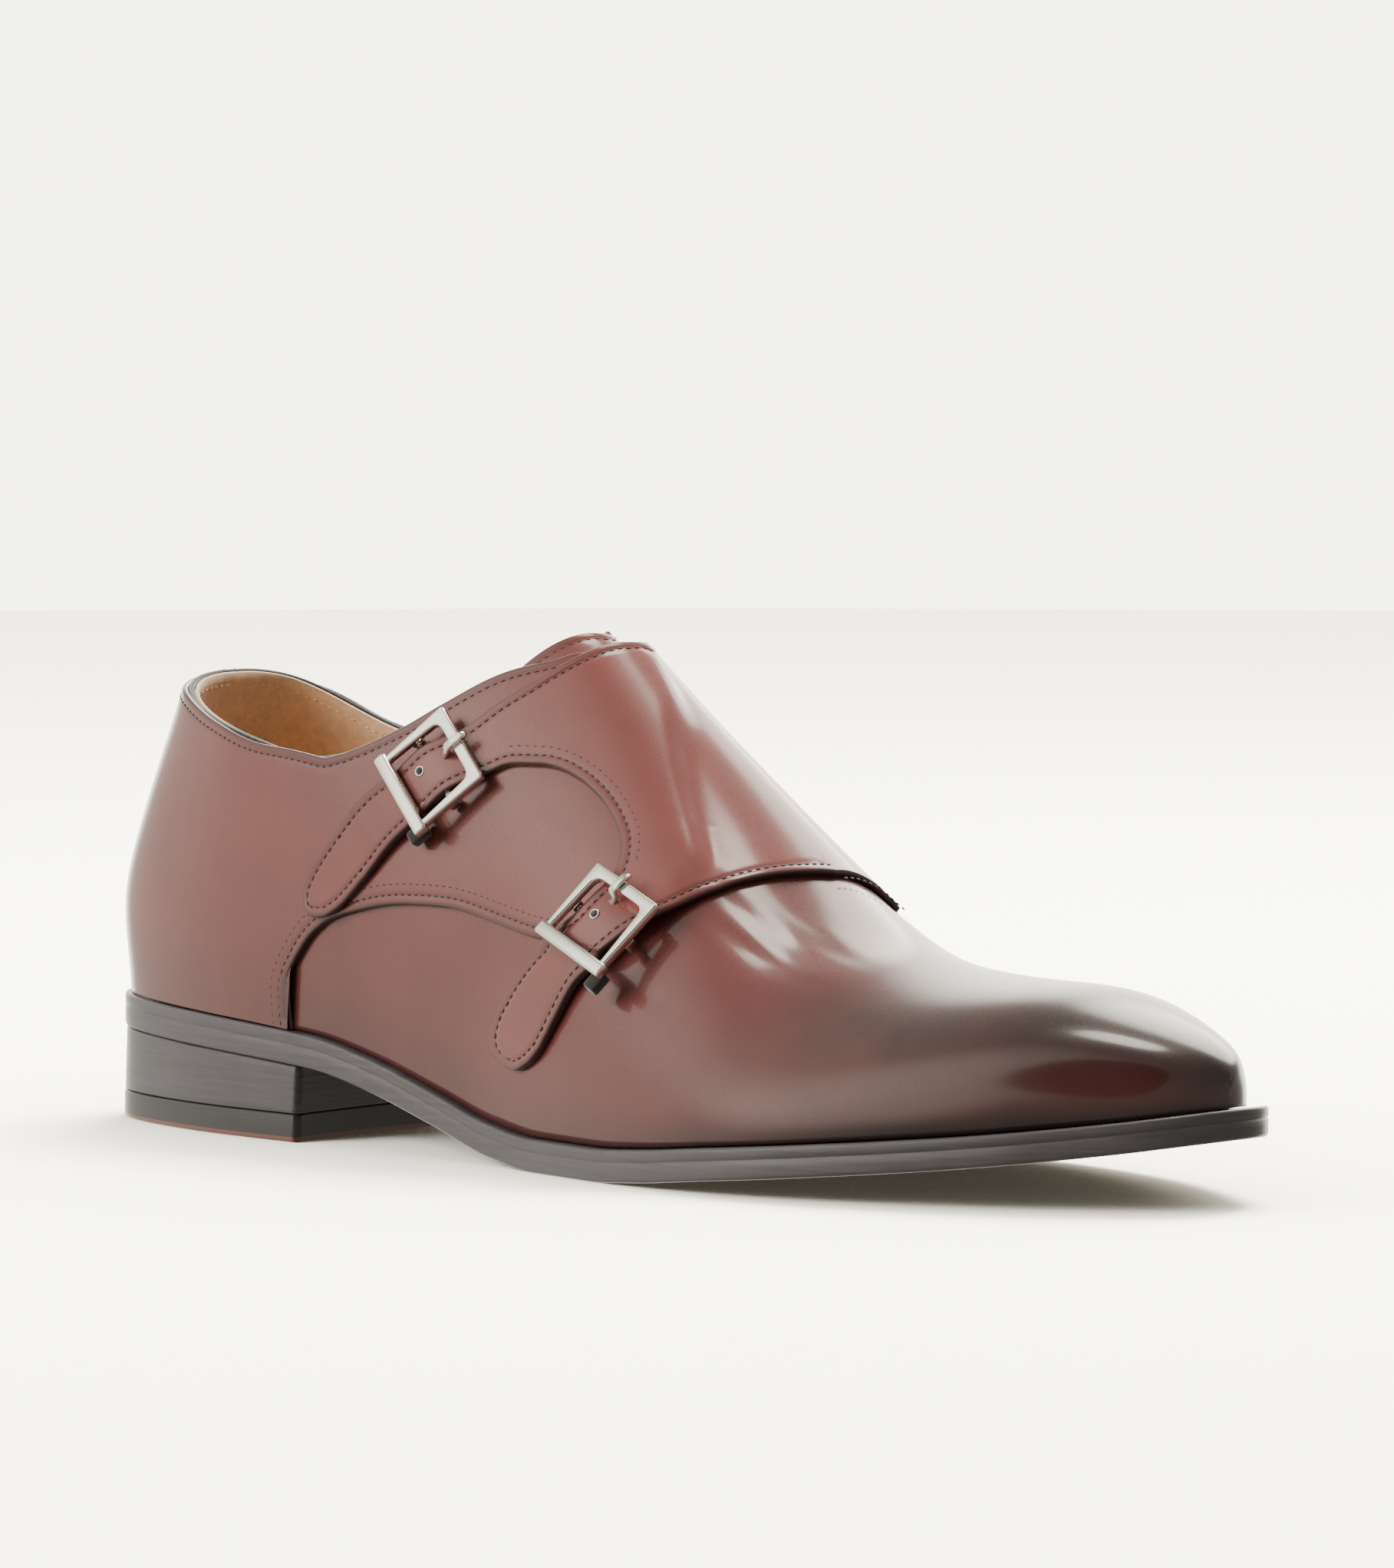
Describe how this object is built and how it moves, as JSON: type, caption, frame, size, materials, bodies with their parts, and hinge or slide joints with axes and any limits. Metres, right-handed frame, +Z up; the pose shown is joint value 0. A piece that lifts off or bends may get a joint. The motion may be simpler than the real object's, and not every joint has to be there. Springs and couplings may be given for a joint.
{
  "type": "monk strap shoe",
  "caption": "Low leather shoe with a hollow lasted upper, buckled straps over the instep, a slim pointed toe, a leather sole and a stacked heel.",
  "frame": {"origin": "middle of the bounding box, on the floor", "axes": "+X runs from the heel to the toe, +Y to the inner side of the foot, +Z up"},
  "size_m": [0.3052, 0.1006, 0.1101],
  "materials": {
    "calf": "glossy burnished mid brown calf, darker at the toe and seams",
    "sole_leather": "satin dark brown edge dressing",
    "heel_leather": "satin dark brown edge dressing over leather lifts",
    "heel_rubber": "matt black rubber",
    "lining_leather": "matt tan lining leather",
    "nickel": "polished nickel"
  },
  "bodies": {
    "root": {"outsole": "sole_leather", "heel_block": "heel_leather", "heel_top_piece": "heel_rubber", "insole": "lining_leather", "upper": "calf", "outer_quarter": "calf", "inner_quarter": "calf", "tongue": "calf", "buckle_upper": "nickel", "prong_upper": "nickel", "buckle_lower": "nickel", "prong_lower": "nickel"}
  },
  "joints": []
}
